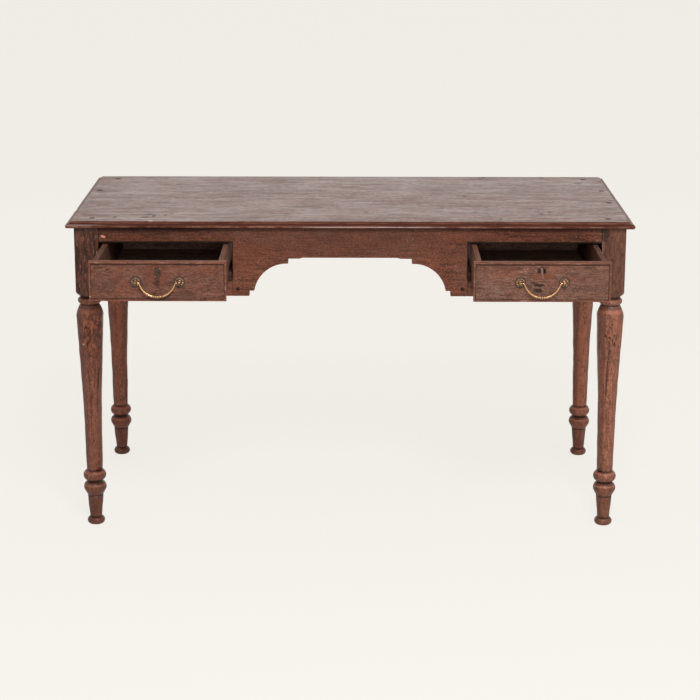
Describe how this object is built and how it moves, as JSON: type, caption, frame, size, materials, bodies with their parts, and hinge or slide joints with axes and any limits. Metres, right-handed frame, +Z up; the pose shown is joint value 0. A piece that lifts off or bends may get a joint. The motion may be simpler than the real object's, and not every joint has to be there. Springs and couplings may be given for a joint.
{
  "type": "writing desk",
  "caption": "Old wooden writing desk with a moulded plank top, turned and faceted legs, an arched apron over the kneehole and sliding drawers with brass bail handles.",
  "frame": {"origin": "on the floor, under the middle of the top", "axes": "+X along the desk to the right of a person sitting at it, +Y away from that person towards the back, +Z up"},
  "size_m": [1.346, 0.859, 0.762],
  "materials": {
    "top_wood": "old waxed planks, greyed brown with a soft sheen",
    "peg_wood": "dark end-grain pegs and plugs",
    "case_wood": "reddish brown, dark old polish worn on the edges",
    "leg_wood": "dark brown turned wood, worn paler on the rings",
    "drawer_face_wood": "mid brown with red patches and old polish",
    "bead_wood": "orange-red strip, worn and chipped",
    "inner_wood": "unpolished secondary wood, brown with age",
    "aged_brass": "dark aged brass",
    "bail_brass": "handled brass, rubbed bright",
    "nail_iron": "cut iron nails"
  },
  "bodies": {
    "frame": {"top_front_board": "top_wood", "top_middle_board": "top_wood", "top_rear_board": "top_wood", "top_pegs": "peg_wood", "joint_pegs": "peg_wood", "front_apron": "case_wood", "back_apron": "case_wood", "left_bearer_rail": "case_wood", "right_bearer_rail": "case_wood", "left_side_apron": "case_wood", "right_side_apron": "case_wood", "front_left_leg": "leg_wood", "front_right_leg": "leg_wood", "rear_left_leg": "leg_wood", "rear_right_leg": "leg_wood", "left_inner_runner": "inner_wood", "left_outer_runner": "inner_wood", "left_inner_kicker": "inner_wood", "left_outer_kicker": "inner_wood", "left_inner_guide": "inner_wood", "left_outer_guide": "inner_wood", "left_drawer_stops": "inner_wood", "right_inner_runner": "inner_wood", "right_outer_runner": "inner_wood", "right_inner_kicker": "inner_wood", "right_outer_kicker": "inner_wood", "right_inner_guide": "inner_wood", "right_outer_guide": "inner_wood", "right_drawer_stops": "inner_wood"},
    "left_drawer": {"left_drawer_front": "drawer_face_wood", "left_drawer_inner_side": "inner_wood", "left_drawer_outer_side": "inner_wood", "left_drawer_back": "inner_wood", "left_drawer_bottom": "inner_wood", "left_drawer_beads": "bead_wood", "left_drawer_nails": "nail_iron", "left_keyhole_plug": "peg_wood", "left_handle_rosettes": "aged_brass", "left_handle_posts": "aged_brass", "left_handle_nuts": "aged_brass"},
    "left_bail": {"left_bail": "bail_brass"},
    "right_drawer": {"right_drawer_front": "drawer_face_wood", "right_drawer_inner_side": "inner_wood", "right_drawer_outer_side": "inner_wood", "right_drawer_back": "inner_wood", "right_drawer_bottom": "inner_wood", "right_drawer_beads": "bead_wood", "right_drawer_nails": "nail_iron", "right_keyhole_plug": "peg_wood", "right_handle_rosettes": "aged_brass", "right_handle_posts": "aged_brass", "right_handle_nuts": "aged_brass"},
    "right_bail": {"right_bail": "bail_brass"}
  },
  "joints": [
    {"name": "left_drawer_slide", "type": "slide", "parent": "frame", "child": "left_drawer", "axis": [0, -1, 0], "range_m": [-0.205, 0.22]},
    {"name": "left_bail_swing", "type": "hinge", "parent": "left_drawer", "child": "left_bail", "pos_m": [-0.4385, -0.528, 0.6611], "axis": [-1, 0, 0], "range_deg": [-8, 168]},
    {"name": "right_drawer_slide", "type": "slide", "parent": "frame", "child": "right_drawer", "axis": [0, -1, 0], "range_m": [-0.205, 0.22]},
    {"name": "right_bail_swing", "type": "hinge", "parent": "right_drawer", "child": "right_bail", "pos_m": [0.4385, -0.528, 0.6611], "axis": [-1, 0, 0], "range_deg": [-8, 168]}
  ]
}
